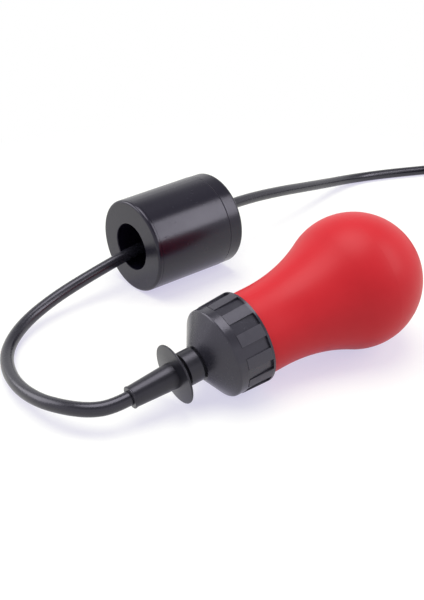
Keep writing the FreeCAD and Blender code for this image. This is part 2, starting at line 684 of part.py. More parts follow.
def make_screws():
    shaft_len = cradle_r * 1.1
    group = []
    for mark, place_u, place_v in CRADLE_SCREWS:
        start = cradle_r * -0.55
        group.append(screw("cradle_screw_" + mark, shaft_len, (place_u, start, place_v), ACROSS, -1))
    keep("cradle_screws", compound("cradle_screw_pair", group), INNER_POSE)
    group = []
    outer_y = dim.case_t / 2 + dim.cheek_t
    for mark, place_u, place_v in switch_screw_places():
        group.append(screw("switch_screw_" + mark, outer_y * 2, (place_u, outer_y * -1, place_v),
                           ACROSS, -1))
    keep("switch_screws", compound("switch_screw_pair", group), INNER_POSE)
    group = []
    top = seat_v + dim.clamp_t
    for mark, place_y in clamp_screw_places():
        length = dim.clamp_t * 3
        group.append(screw("clamp_screw_" + mark, length,
                           (cradle_u + dim.jacket_in / 2, place_y, top - length), UP, 1))
    keep("clamp_screws", compound("clamp_screw_pair", group), INNER_POSE)


def compound(name, parts):
    feature = doc.addObject("Part::Compound", name)
    feature.Links = parts
    return feature


def make_clamp():
    middle = cradle_u + dim.jacket_in / 2
    bar = box("clamp_bar", (middle - dim.clamp_len / 2, dim.clamp_w / -2, seat_v),
              (middle + dim.clamp_len / 2, dim.clamp_w / 2, seat_v + dim.clamp_t))
    hump = rod("clamp_hump", dim.cord_r + dim.clamp_t, dim.clamp_len,
               (middle - dim.clamp_len / 2, 0, 0), ALONG)
    hump_top = box("clamp_hump_top", (middle - dim.clamp_len / 2, dim.clamp_w / -2, seat_v),
                   (middle + dim.clamp_len / 2, dim.clamp_w / 2, dim.clamp_w))
    saddle = joined("clamp_saddle", [bar, common("clamp_arch", [hump, hump_top])])
    tools = [rod("clamp_trough", dim.cord_r + dim.cord_fit, dim.clamp_len + 2,
                 (middle - dim.clamp_len / 2 - 1, 0, 0), ALONG)]
    for mark, place_y in clamp_screw_places():
        tools.append(rod("clamp_hole_" + mark, dim.screw_r + dim.cord_fit, dim.clamp_t * 4,
                         (middle, place_y, seat_v - dim.clamp_t), UP))
    keep("cable_clamp", cut("clamp", saddle, joined("clamp_openings", tools)), INNER_POSE)


def make_ball():
    ball = doc.addObject("Part::Sphere", "ball")
    bind(ball, Radius=dim.ball_r)
    place = INNER_POSE.multVec(FreeCAD.Vector(ball_start_u.value, 0, ball_start_v.value))
    keep("steel_ball", ball, FreeCAD.Placement(place, INNER_POSE.Rotation))


def make_microswitch():
    half_t = dim.case_t / 2
    case = box("case_block", (case_u, half_t * -1, seat_v), (hinge_u, half_t, seat_v + dim.case_h))
    # Two ears at the far end carry the hinge pin below the case.
    gap_y = dim.lever_w / 2 + dim.fit
    ears = []
    for mark, low_y, high_y in (("left", gap_y, half_t), ("right", half_t * -1, gap_y * -1)):
        ears.append(box("case_ear_" + mark, (hinge_u - ear_len / 2, low_y, dim.lever_eye_r * -1),
                        (hinge_u + ear_len / 2, high_y, seat_v + 1)))
    body = joined("case_body", [case] + ears)
    tools = [rod("case_plunger_hole", dim.plunger_r + dim.cord_fit,
                 dim.plunger_len + dim.lever_t * 2 + 1,
                 (hinge_u - dim.plunger_reach, 0, seat_v - 1), UP),
             rod("case_pin_hole", dim.hinge_pin_r, dim.case_t + 2,
                 (hinge_u, half_t * -1 - 1, hinge_v), ACROSS)]
    for mark, place_u, place_v in switch_screw_places():
        tools.append(rod("case_hole_" + mark, dim.screw_r + dim.cord_fit, dim.case_t + 2,
                         (place_u, half_t * -1 - 1, place_v), ACROSS))
    keep("microswitch_case", cut("case", body, joined("case_openings", tools)), INNER_POSE)
    pin = rod("hinge_pin", dim.hinge_pin_r, dim.case_t, (hinge_u, half_t * -1, hinge_v), ACROSS)
    keep("lever_pin", single("hinge_pin_piece", pin), INNER_POSE)
    blade_v = seat_v + dim.case_h
    for node, step in (("terminal_common", 1), ("terminal_open", 0), ("terminal_closed", -1)):
        middle = case_u + dim.case_len / 2 + dim.blade_pitch * step
        blade = box(node + "_blade", (middle - dim.blade_t / 2, dim.blade_w / -2, blade_v),
                    (middle + dim.blade_t / 2, dim.blade_w / 2, blade_v + dim.blade_h))
        keep(node, single(node + "_piece", blade), INNER_POSE)


def make_lever():
    """A sprung blade with a rolled eye, drawn level and then hung by its free angle."""
    eye_in = dim.hinge_pin_r + dim.pin_fit
    half_w = dim.lever_w / 2
    blade = box("lever_blade", (dim.lever_len * -1, half_w * -1, dim.lever_t / -2),
                (dim.lever_eye_r * -0.9, half_w, dim.lever_t / 2))
    eye = rod("lever_eye", dim.lever_eye_r, dim.lever_w, (0, half_w * -1, 0), ACROSS)
    hole = rod("lever_eye_hole", eye_in, dim.lever_w + 2, (0, half_w * -1 - 1, 0), ACROSS)
    lever = cut("lever", joined("lever_solid", [blade, eye]), hole)
    place = INNER_POSE.multVec(FreeCAD.Vector(hinge_u.value, 0, hinge_v.value))
    hang = INNER_POSE.Rotation.multiply(FreeCAD.Rotation(ACROSS, -dim.lever_angle.value))
    keep("microswitch_lever", lever, FreeCAD.Placement(place, hang))
    plunger = doc.addObject("Part::Cylinder", "plunger")
    bind(plunger, Radius=dim.plunger_r, Height=dim.plunger_len)
    plunger_v = (hinge_v.value + dim.lever_t.value / 2 / math.cos(math.radians(dim.lever_angle.value))
                 - dim.plunger_reach.value * math.tan(math.radians(dim.lever_angle.value))
                 + dim.ball_lever_gap.value
                 + dim.plunger_r.value * math.tan(math.radians(dim.lever_angle.value)))
    place = INNER_POSE.multVec(
        FreeCAD.Vector(hinge_u.value - dim.plunger_reach.value, 0, plunger_v))
    keep("microswitch_plunger", plunger, FreeCAD.Placement(place, INNER_POSE.Rotation))


def rounded_path(points):
    """Straight runs joined by tangent arcs, as large as the runs on both sides allow."""
    edges = []
    radii = []
    start = points[0]
    for before, corner, after in zip(points, points[1:], points[2:]):
        back = before - corner
        ahead = after - corner
        turn = math.pi - back.getAngle(ahead)
        reach = ARC_SHARE * min(back.Length, ahead.Length)
        radius = reach / math.tan(turn / 2)
        radii.append(radius)
        entry = corner + back.normalize() * reach
        leave = corner + ahead.normalize() * reach
        centre_line = (back + ahead).normalize()
        to_centre = math.hypot(radius, reach)
        middle = corner + centre_line * (to_centre - radius)
        edges.append(Part.LineSegment(start, entry).toShape())
        edges.append(Part.Arc(entry, middle, leave).toShape())
        start = leave
    edges.append(Part.LineSegment(start, points[-1]).toShape())
    return Part.Wire(edges), radii


def tube(node, points, radius, pose=None):
    """A round solid along a path, with its volume tested against section times length."""
    path, radii = rounded_path([FreeCAD.Vector(*point) for point in points])
    first = path.Edges[0]
    section = Part.Wire([Part.Circle(first.Vertexes[0].Point, first.tangentAt(0), radius).toShape()])
    solid = path.makePipeShell([section], True, False)
    expected = math.pi * radius ** 2 * path.Length
    if abs(solid.Volume / expected - 1) > VOLUME_MARGIN:
        raise ValueError("the tube " + node + " has the wrong volume")
    print("%s: length %.0f, radii %s" % (node, path.Length, " ".join("%.0f" % r for r in radii)))
    feature = doc.addObject("Part::Feature", node + "_solid")
    feature.Shape = solid
    keep(node, feature, pose or FreeCAD.Placement())
    return path.Length


ARC_SHARE = 0.45
VOLUME_MARGIN = 0.01

# The free cable: out of the boot, round a loop to the left, through the counterweight and off to
# the coil, resting on the floor wherever nothing carries it. Hand-chosen points.
EXIT_STRAIGHT = 10.6
exit_point = FLOAT_POSE.multVec(ORIGIN)
first_bend = FLOAT_POSE.multVec(ALONG * -EXIT_STRAIGHT)
FLOOR_Z = dim.cord_r.value
CABLE_ROUTE = (
    (exit_point.x, exit_point.y, exit_point.z),
    (first_bend.x, first_bend.y, first_bend.z),
    (-123.2, 4.8, 16.0),
    (-133.0, 16.4, 14.8),
    (-141.0, 35.0, 11.8),
    (-143.6, 60.5, 7.8),
    (-139.0, 88.5, 5.0),
    (-128.8, 109.8, 4.6),
    (-110.0, 126.6, 7.4),
    (-84.0, 136.8, 12.4),
    (-54.0, 142.2, 18.3),
    (-18.0, 147.9, 24.2),
    (20.0, 147.6, 31.2),
    (61.0, 150.6, 38.6),
    (100.0, 163.0, 34.0),
    (140.0, 173.2, 27.4),
    (178.0, 184.6, 19.0),
    (215.0, 196.6, 10.6),
    (250.0, 204.2, 4.6),
    (287.0, 195.6, FLOOR_Z),
    (343.0, 175.1, FLOOR_Z),
)
ENTRY_HEADING = -18.0
END_HEADING = -90.0


def coil_point(radius, heading, ahead, height):
    """A point on the tangent to a turn of the coil that is travelled clockwise."""
    angle = math.radians(heading)
    along = FreeCAD.Vector(math.cos(angle), math.sin(angle), 0)
    out = FreeCAD.Vector(-math.sin(angle), math.cos(angle), 0)
    place = FreeCAD.Vector(dim.coil_x.value, dim.coil_y.value, height)
    place = place + out * radius + along * ahead
    return (place.x, place.y, place.z)


def make_cable():
    cord_d = 2 * dim.cord_r.value
    outer_turn_r = dim.coil_mean_r.value + (CORD_TURNS_ACROSS - 1) / 2 * cord_d
    entry = coil_point(outer_turn_r, ENTRY_HEADING, 0, FLOOR_Z)
    tube("cable", CABLE_ROUTE + (entry,), dim.cord_r.value)
    inner_r = outer_turn_r + cord_d / 2 - CORD_TURNS_ACROSS * cord_d
    outer_r = outer_turn_r + cord_d / 2
    step_r = outer_r - TOP_TURNS * cord_d
    low_z = CORD_LAYERS * cord_d
    high_z = low_z + cord_d
    ring = Part.makeCylinder(outer_r, low_z).fuse(Part.makeCylinder(outer_r, high_z))
    ring = ring.cut(Part.makeCylinder(inner_r, high_z))
    ring = ring.cut(Part.makeCylinder(step_r, cord_d, FreeCAD.Vector(0, 0, low_z)))
    feature = doc.addObject("Part::Feature", "coil_solid")
    feature.Shape = ring.removeSplitter()
    keep("cable_coil", feature,
         FreeCAD.Placement(FreeCAD.Vector(dim.coil_x.value, dim.coil_y.value, 0), FreeCAD.Rotation()))
    top_z = low_z + cord_d / 2
    tail = tuple(coil_point(outer_turn_r + aside, END_HEADING, ahead, height)
                 for ahead, aside, height in END_ROUTE)
    start = coil_point(outer_turn_r, END_HEADING, 0, top_z)
    length = tube("cable_end", (start,) + tail, dim.cord_r.value)
    return tail[-1], length


# The far end comes off the top of the coil and down to the floor: how far along, how far out from
# the tangent, and how high.
END_ROUTE = (
    (22.0, 0.4, 19.7),
    (47.0, 1.3, 13.6),
    (78.0, 0.9, 6.3),
    (117.0, 0.0, FLOOR_Z),
    (155.0, 0.0, FLOOR_Z),
)


def make_far_cores(end):
    """Three stripped cores with ferrules, straight on from the cut of the jacket."""
    pose = FreeCAD.Placement(FreeCAD.Vector(*end), FreeCAD.Rotation(UP, END_HEADING))
    ring_r = dim.core_r * 1.2
    ferrules = []
    for node, clock in (("end_core_brown", 90.0), ("end_core_blue", 210.0), ("end_core_black", 330.0)):
        place_y = ring_r * round(math.cos(math.radians(clock)), 6)
        place_z = ring_r * round(math.sin(math.radians(clock)), 6)
        core = rod(node + "_rod", dim.core_r, dim.end_core_len, (0, place_y, place_z), ALONG)
        keep(node, single(node + "_wire", core), pose)
        collar = rod(node + "_ferrule_collar", dim.ferrule_collar_r * 0.8, dim.ferrule_len / 2,
                     (dim.end_core_len, place_y, place_z), ALONG)
        tip = rod(node + "_ferrule_tip", dim.ferrule_r * 0.8, dim.ferrule_len,
                  (dim.end_core_len + dim.ferrule_len / 2, place_y, place_z), ALONG)
        ferrules.append(joined(node + "_ferrule", [collar, tip]))
    keep("end_ferrules", compound("ferrule_group", ferrules), pose)


def make_inner_cable():
    """The jacketed cable from the boot's end to the cradle, and its three cores to the blades."""
    length = cradle_u + dim.jacket_in
    tail = rod("cable_tail_rod", dim.cord_r, length, (0, 0, 0), ALONG)
    keep("cable_tail", single("cable_tail_wire", tail), INNER_POSE)
    jacket_end = length.value
    blade_v = (seat_v + dim.case_h + dim.blade_h / 2).value
    middle = (case_u + dim.case_len / 2).value
    pitch = dim.blade_pitch.value
    core_r = dim.core_r.value
    ring_r = core_r * 1.2
    side = dim.blade_w.value / 2 + core_r + dim.fit.value
    reach = middle - pitch - jacket_end
    for node, clock, step, lane in (
            ("core_brown", 90.0, -1, 0.0), ("core_blue", 210.0, 1, -1.0), ("core_black", 330.0, 0, 1.0)):
        start_y = ring_r * math.cos(math.radians(clock))
        start_z = ring_r * math.sin(math.radians(clock))
        end_u = middle + pitch * step - dim.blade_t.value / 2
        lane_y = lane * side
        points = [
            (jacket_end, start_y, start_z),
            (jacket_end + reach * 0.16, start_y, start_z),
            (jacket_end + reach * 0.34, lane_y * 0.97,
             blade_v * 0.3 + (core_r * 0.5 if lane else core_r * 2.5)),
            (jacket_end + reach * 0.58, lane_y * 0.95, blade_v * 0.75),
            (jacket_end + reach * 0.80, lane_y, blade_v),
        ]
        if lane == 0:
            points.append((end_u, 0, blade_v))
        else:
            points.append((end_u - pitch * 0.3, lane_y, blade_v))
            points.append((end_u + core_r, lane_y * 0.93, blade_v + core_r * 0.1))
        tube(node, points, core_r, INNER_POSE)


def side_r(along):
    """Radius of the counterweight's tapered side at a length along it."""
    return dim.weight_front_r + weight_taper * along


def make_weight():
    """A plastic shell with a bore tube, an iron ring inside it, and a spigoted lid."""
    shell_len = dim.weight_len - dim.weight_lid_len
    tube_r = dim.weight_bore_r + dim.weight_wall
    inside_r = dim.weight_front_r - dim.weight_wall
    seam_u = dim.weight_face_round * 1.6
    seam = dim.weight_lid_step
    turned("weight_shell", [
        Corner(0, dim.weight_bore_r, rounding=dim.weight_wall * 0.3),
        Corner(0, dim.weight_front_r, rounding=dim.weight_face_round),
        Corner(seam_u, side_r(seam_u)),
        Corner(seam_u + seam * 0.5, side_r(seam_u) - seam),
        Corner(seam_u + seam, side_r(seam_u + seam)),
        Corner(shell_len, side_r(shell_len)),
        Corner(shell_len, inside_r),
        Corner(dim.weight_wall, inside_r),
        Corner(dim.weight_wall, tube_r),
        Corner(dim.weight_len, tube_r),
        Corner(dim.weight_len, dim.weight_bore_r, rounding=dim.weight_wall * 0.3),
    ], WEIGHT_POSE)
    lid_front_r = side_r(shell_len) - dim.weight_lid_step
    lid_rear_r = dim.weight_rear_r - dim.weight_lid_step
    spigot_out = inside_r - dim.fit
    spigot_in = spigot_out - dim.weight_wall
    turned("weight_lid", [
        Corner(shell_len - dim.weight_lip, spigot_in),
        Corner(shell_len - dim.weight_lip, spigot_out),
        Corner(shell_len, spigot_out),
        Corner(shell_len, lid_front_r),
        Corner(dim.weight_len, lid_rear_r, rounding=dim.weight_lid_round),
        Corner(dim.weight_len, tube_r + dim.fit),
        Corner(dim.weight_len - dim.weight_wall, tube_r + dim.fit),
        Corner(dim.weight_len - dim.weight_wall, spigot_in),
    ], WEIGHT_POSE)
    core_len = shell_len - dim.weight_wall - dim.weight_lip - dim.fit
    rim = rod("weight_core_rim", inside_r - dim.fit, core_len, (dim.weight_wall, 0, 0), ALONG)
    hole = rod("weight_core_hole", tube_r + dim.fit, core_len, (dim.weight_wall, 0, 0), ALONG)
    keep("weight_core", cut("weight_core_ring", rim, hole), WEIGHT_POSE)


make_boot()
make_cap()
make_shell()
make_capsule()
make_cradle()
make_screws()
make_clamp()
make_ball()
make_microswitch()
make_lever()
make_inner_cable()
make_weight()
cable_stop, end_length = make_cable()
make_far_cores(cable_stop)

doc.recompute()
for item in doc.Objects:
    if "Invalid" in item.State or "Error" in item.State:
        raise ValueError("failed: " + item.Label)
os.makedirs("parts", exist_ok=True)
for node, feature in nodes.items():
    shape = feature.Shape
    if shape.isNull() or not shape.isValid():
        raise ValueError("bad shape: " + node)
    shape.exportStep("parts/%s.step" % node)
print("tilt %.3f degrees, ball slope %.3f degrees" % (math.degrees(tilt), ball_slope))
for label, point in (("lever hinge", INNER_POSE.multVec(FreeCAD.Vector(hinge_u.value, 0, hinge_v.value))),
                     ("ball axis", INNER_POSE.Rotation.multVec(
                         FreeCAD.Vector(dim.ball_run.value, 0, ball_rise.value).normalize())),
                     ("lever axis", INNER_POSE.Rotation.multVec(ACROSS)),
                     ("plunger axis", INNER_POSE.Rotation.multVec(UP)),
                     ("cable exit", exit_point), ("cable end", FreeCAD.Vector(*cable_stop))):
    print("%s %.5f %.5f %.5f" % (label, point.x, point.y, point.z))
lowest = min((feature.Shape.optimalBoundingBox(True, False).ZMin, node) for node, feature in nodes.items())
print("lowest %.3f at %s" % lowest)
print("%d nodes" % len(nodes))
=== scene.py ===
import bpy
import json
import math
from mathutils import Matrix, Vector


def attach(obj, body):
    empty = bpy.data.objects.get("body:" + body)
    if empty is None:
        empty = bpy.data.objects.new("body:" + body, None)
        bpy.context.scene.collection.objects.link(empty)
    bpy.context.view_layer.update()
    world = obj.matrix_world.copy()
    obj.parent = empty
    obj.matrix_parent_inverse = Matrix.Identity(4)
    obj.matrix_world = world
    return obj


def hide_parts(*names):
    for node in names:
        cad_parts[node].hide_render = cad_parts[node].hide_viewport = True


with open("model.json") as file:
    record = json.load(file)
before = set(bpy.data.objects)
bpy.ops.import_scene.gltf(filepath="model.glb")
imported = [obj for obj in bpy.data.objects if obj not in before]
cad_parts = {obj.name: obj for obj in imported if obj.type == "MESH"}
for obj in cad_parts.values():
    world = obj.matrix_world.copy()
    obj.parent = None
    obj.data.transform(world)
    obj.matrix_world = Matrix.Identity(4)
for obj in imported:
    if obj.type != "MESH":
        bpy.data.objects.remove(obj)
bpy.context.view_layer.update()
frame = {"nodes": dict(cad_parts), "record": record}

# The camera and the cable come first. Lengths are in metres unless a comment says otherwise.

CAMERA_PLACE = (-0.27839, -0.33946, 0.29325)
CAMERA_AIM = (0.01604, 0.09273, 0.0)
CAMERA_LENS = 50.91  # millimetres, and the sensor's width as well
CAMERA_SENSOR = 36.0
CAMERA_NEAR = 0.01

CORD_D = 0.0085
# From the boot round to the floor, up through the counterweight's bore and down behind it.
CORD_ROUTE = (
    (-0.10170, 0.0, 0.01850),
    (-0.11218, 0.0, 0.01689),
    (-0.1232, 0.0048, 0.0160),
    (-0.1330, 0.0164, 0.0148),
    (-0.1410, 0.0350, 0.0118),
    (-0.1436, 0.0605, 0.0078),
    (-0.1390, 0.0885, 0.0050),
    (-0.1288, 0.1098, 0.0046),
    (-0.1100, 0.1266, 0.0074),
    (-0.0840, 0.1368, 0.0124),
    (-0.0540, 0.1422, 0.0183),
    (-0.0180, 0.1479, 0.0242),
    (0.0200, 0.1476, 0.0312),
    (0.0610, 0.1506, 0.0386),
    (0.1000, 0.1630, 0.0340),
    (0.1400, 0.1732, 0.0274),
    (0.1780, 0.1846, 0.0190),
    (0.2150, 0.1966, 0.0106),
    (0.2500, 0.2042, 0.0046),
    (0.2870, 0.1956, 0.00425),
    (0.3430, 0.1751, 0.00425),
)
COIL_MIDDLE = (0.360, 0.098)
COIL_OUTER = 0.068
COIL_INNER = 0.034
COIL_ENTRY = 72.0  # degrees
COIL_TURN_POINTS = 16
# Heights of the cord's middle in the coil's three layers.
LAYER_LOW, LAYER_MIDDLE, LAYER_TOP = 0.00425, 0.01275, 0.02125
COIL_STAGES = (
    # turn, radius, height
    (0.0, COIL_OUTER, LAYER_LOW),
    (4.0, COIL_INNER, LAYER_LOW),
    (4.5, COIL_INNER, LAYER_LOW),
    (5.0, COIL_INNER, LAYER_MIDDLE),
    (9.0, COIL_OUTER, LAYER_MIDDLE),
    (9.5, 0.0600, 0.01900),
    (10.0, 0.0510, LAYER_TOP),
    (12.2, COIL_OUTER, LAYER_TOP),
)
# The far end, from where it leaves the coil.
TAIL_ROUTE = (
    # ahead, aside, height
    (0.022, 0.0004, 0.0197),
    (0.047, 0.0013, 0.0136),
    (0.078, 0.0009, 0.0063),
    (0.117, 0.0000, 0.00425),
    (0.155, 0.0000, 0.00425),
)


def add_camera():
    data = bpy.data.cameras.new("front_view")
    data.sensor_width = CAMERA_SENSOR
    data.lens = CAMERA_LENS
    data.clip_start = CAMERA_NEAR
    camera = bpy.data.objects.new("front_view", data)
    camera.location = CAMERA_PLACE
    aim = Vector(CAMERA_AIM) - Vector(CAMERA_PLACE)
    camera.rotation_euler = aim.to_track_quat("-Z", "Y").to_euler()
    bpy.context.scene.collection.objects.link(camera)
    bpy.context.scene.camera = camera


def coil_place(turn):
    """Radius and height at a turn count, by straight lines between the listed stages."""
    for (t0, r0, z0), (t1, r1, z1) in zip(COIL_STAGES, COIL_STAGES[1:]):
        if turn <= t1:
            share = (turn - t0) / (t1 - t0)
            return r0 + (r1 - r0) * share, z0 + (z1 - z0) * share
    return COIL_STAGES[-1][1:]


def coil_points():
    """Points of the coil: the angle falls by equal steps from the entry, radius and height follow
    the stages, and the radius is divided by the cosine of half a step, so that the curve, which
    runs inside its points, has its full size."""
    last = COIL_STAGES[-1][0]
    count = round(last * COIL_TURN_POINTS)
    swell = 1 / math.cos(math.pi / COIL_TURN_POINTS)
    points = []
    for step in range(1, count):
        turn = last * step / count
        radius, height = coil_place(turn)
        angle = math.radians(COIL_ENTRY - 360 * turn)
        points.append((COIL_MIDDLE[0] + radius * swell * math.cos(angle),
                       COIL_MIDDLE[1] + radius * swell * math.sin(angle), height))
    return points


def add_cable():
    """The whole cable as one smooth cord: its route, the stored coil and the far end."""
    tail = [(COIL_MIDDLE[0] + COIL_OUTER + aside, COIL_MIDDLE[1] - ahead, height)
            for ahead, aside, height in TAIL_ROUTE]
    points = list(CORD_ROUTE) + coil_points() + tail
    data = bpy.data.curves.new("rubber_cable", "CURVE")
    data.dimensions = "3D"
    spline = data.splines.new("NURBS")
    spline.points.add(len(points) - 1)
    # The bevel is one metre deep and each point's radius scales it to the cord, so that the
    # piece's bounds, which grow by the radius, stay true.
    for point, place in zip(spline.points, points):
        point.co = (*place, 1.0)
        point.radius = CORD_D / 2
    spline.order_u = 3
    spline.use_endpoint_u = True
    spline.resolution_u = 6
    data.bevel_depth = 1.0
    data.bevel_resolution = 5
    data.use_fill_caps = True
    cable = bpy.data.objects.new("rubber_cable", data)
    bpy.context.scene.collection.objects.link(cable)
    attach(cable, "float_and_cable")
    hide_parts("cable", "cable_coil", "cable_end")
    return cable


# Small helpers for node trees.

def feed(tree, value, socket):
    """Links another node's output to a socket, or sets a plain number, vector or colour on it."""
    if isinstance(value, bpy.types.NodeSocket):
        tree.links.new(value, socket)
    else:
        socket.default_value = value


def math_node(tree, operation, *values):
    node = tree.nodes.new("ShaderNodeMath")
    node.operation = operation
    for value, socket in zip(values, node.inputs):
        feed(tree, value, socket)
    return node.outputs[0]


def vector_node(tree, operation, *values):
    """A vector operation. Returns its outputs, of which Vector or Value holds the result."""
    node = tree.nodes.new("ShaderNodeVectorMath")
    node.operation = operation
    for value, socket in zip(values, node.inputs):
        feed(tree, value, socket)
    return node.outputs


def noise(tree, place, scale, detail, rough):
    node = tree.nodes.new("ShaderNodeTexNoise")
    for label, value in (("Vector", place), ("Scale", scale), ("Detail", detail),
                         ("Roughness", rough)):
        feed(tree, value, node.inputs[label])
    return node.outputs["Fac"]


def object_place(tree, stretch=(1, 1, 1)):
    coordinates = tree.nodes.new("ShaderNodeTexCoord")
    mapping = tree.nodes.new("ShaderNodeMapping")
    mapping.inputs["Scale"].default_value = stretch
    tree.links.new(coordinates.outputs["Object"], mapping.inputs["Vector"])
    return mapping.outputs["Vector"]


# Noise lies mostly between these two values.
NOISE_LOW, NOISE_HIGH = 0.25, 0.75


def to_range(tree, value, low, high, start=NOISE_LOW, end=NOISE_HIGH, smooth=False):
    """Carries what runs from start to end over to the range from low to high."""
    node = tree.nodes.new("ShaderNodeMapRange")
    if smooth:
        node.interpolation_type = "SMOOTHSTEP"
    for label, number in (("Value", value), ("From Min", start), ("From Max", end),
                          ("To Min", low), ("To Max", high)):
        feed(tree, number, node.inputs[label])
    return node.outputs["Result"]


def blend_colours(tree, factor, first, second):
    """The first colour where the factor is nought and the second where it is one."""
    node = tree.nodes.new("ShaderNodeMix")
    node.data_type = "RGBA"
    feed(tree, factor, node.inputs["Factor"])
    for label, colour in (("A", first), ("B", second)):
        socket = next(s for s in node.inputs if s.name == label and s.type == "RGBA")
        feed(tree, (*colour, 1.0) if isinstance(colour, tuple) else colour, socket)
    return next(s for s in node.outputs if s.type == "RGBA")


def blend_values(tree, factor, first, second):
    """The first value where the factor is nought and the second where it is one."""
    rest = math_node(tree, "SUBTRACT", 1.0, factor)
    return math_node(tree, "ADD", math_node(tree, "MULTIPLY", first, rest),
                     math_node(tree, "MULTIPLY", second, factor))


def relink(tree, value, socket):
    """Links a value to a socket in the place of what was linked there."""
    for link in list(socket.links):
        tree.links.remove(link)
    tree.links.new(value, socket)


# Surface effects that several finishes share, each a node group that gives out values only.

def new_group(name, inputs, outputs):
    """An empty node group. Each input is a label and its default, a tuple for a vector."""
    tree = bpy.data.node_groups.new(name, "ShaderNodeTree")
    for label, default in inputs:
        kind = "NodeSocketVector" if isinstance(default, tuple) else "NodeSocketFloat"
        socket = tree.interface.new_socket(label, in_out="INPUT", socket_type=kind)
        socket.default_value = default
    for label in outputs:
        tree.interface.new_socket(label, in_out="OUTPUT", socket_type="NodeSocketFloat")
    return tree, tree.nodes.new("NodeGroupInput"), tree.nodes.new("NodeGroupOutput")


def place_group(tree, group, **values):
    """Places a group in a material. An underscore in a name stands for a space in its label."""
    node = tree.nodes.new("ShaderNodeGroup")
    node.node_tree = group
    for label, value in values.items():
        node.inputs[label.replace("_", " ")].default_value = value
    return node


PATCH_SHARE = 0.6


def make_moulded_grain():
    """Fine grain of a moulded surface: a height, a slow change of tone, and a roughness mask that
    mixes the two by PATCH_SHARE."""
    tree, given, out = new_group(
        "moulded_grain", (("Grain per metre", 2500.0), ("Patch per metre", 40.0)),
        ("Height", "Tone", "Roughness"))
    place = object_place(tree)
    grain = noise(tree, place, given.outputs["Grain per metre"], detail=3.0, rough=0.6)
    patch = noise(tree, place, given.outputs["Patch per metre"], detail=4.0, rough=0.55)
    tree.links.new(grain, out.inputs["Height"])
    tree.links.new(patch, out.inputs["Tone"])
    mixed = math_node(tree, "ADD", math_node(tree, "MULTIPLY", patch, PATCH_SHARE),
                      math_node(tree, "MULTIPLY", grain, 1 - PATCH_SHARE))
    tree.links.new(mixed, out.inputs["Roughness"])
    return tree


SCUFF_STRETCH = (1.0, 3.5, 1.6)
SCUFF_SHARPNESS = 6.0


def make_fine_scuffs():
    """Sparse short scuffs from handling: thin ridges of stretched noise kept above a threshold."""
    tree, given, out = new_group(
        "fine_scuffs", (("Scuffs per metre", 160.0), ("Threshold", 0.6)), ("Mask",))
    place = object_place(tree, SCUFF_STRETCH)
    ridge = noise(tree, place, given.outputs["Scuffs per metre"], detail=5.0, rough=0.7)
    above = math_node(tree, "SUBTRACT", ridge, given.outputs["Threshold"])
    mask = math_node(tree, "MULTIPLY", above, SCUFF_SHARPNESS)
    mask.node.use_clamp = True
    tree.links.new(mask, out.inputs["Mask"])
    return tree


def make_axis_place():
    """Place of a point about an axis: its way along the axis from the start, and how far it is
    from the axis."""
    tree, given, out = new_group(
        "place_on_an_axis", (("Start", (0, 0, 0)), ("Axis", (1, 0, 0))), ("Along", "Away"))
    axis = given.outputs["Axis"]
    offset = vector_node(tree, "SUBTRACT", object_place(tree), given.outputs["Start"])["Vector"]
    along = vector_node(tree, "DOT_PRODUCT", offset, axis)["Value"]
    across = vector_node(tree, "CROSS_PRODUCT", offset, axis)["Vector"]
    tree.links.new(along, out.inputs["Along"])
    tree.links.new(vector_node(tree, "LENGTH", across)["Value"], out.inputs["Away"])
    return tree


MOULDED_GRAIN = make_moulded_grain()
FINE_SCUFFS = make_fine_scuffs()
AXIS_PLACE = make_axis_place()

# Finishes, one for each slot of the record.

MILLIMETRE = 0.001


def finish_of(name, light, dark, rough, grain=2500.0, patch=40.0, bump=0.02,
              metallic=0.0, specular=0.5, scuffs=0.0, tint=(1.0, 1.0, 1.0)):
    """A finish between two near colours. The grain gives its height, bump in millimetres, and
    the patches give its tone and its roughness between the two values of rough. Grain and patch
    are counts per metre, and scuffs is the roughness that the scuffs add."""
    material = bpy.data.materials.new(name)
    material.use_nodes = True
    tree = material.node_tree
    shader = tree.nodes["Principled BSDF"]
    surface = place_group(tree, MOULDED_GRAIN, Grain_per_metre=grain, Patch_per_metre=patch)
    tone = to_range(tree, surface.outputs["Tone"], 0.0, 1.0)
    colour = blend_colours(tree, tone, dark, light)
    roughness = to_range(tree, surface.outputs["Roughness"], *rough)
    if scuffs:
        wear = place_group(tree, FINE_SCUFFS)
        share = math_node(tree, "MULTIPLY", wear.outputs["Mask"], scuffs)
        roughness = math_node(tree, "ADD", roughness, share)
    tree.links.new(colour, shader.inputs["Base Color"])
    tree.links.new(roughness, shader.inputs["Roughness"])
    relief = tree.nodes.new("ShaderNodeBump")
    relief.inputs["Strength"].default_value = 1.0
    relief.inputs["Distance"].default_value = bump * MILLIMETRE
    tree.links.new(surface.outputs["Height"], relief.inputs["Height"])
    tree.links.new(relief.outputs["Normal"], shader.inputs["Normal"])
    shader.inputs["Metallic"].default_value = metallic
    shader.inputs["Specular IOR Level"].default_value = specular
    shader.inputs["Specular Tint"].default_value = (*tint, 1.0)
    return material


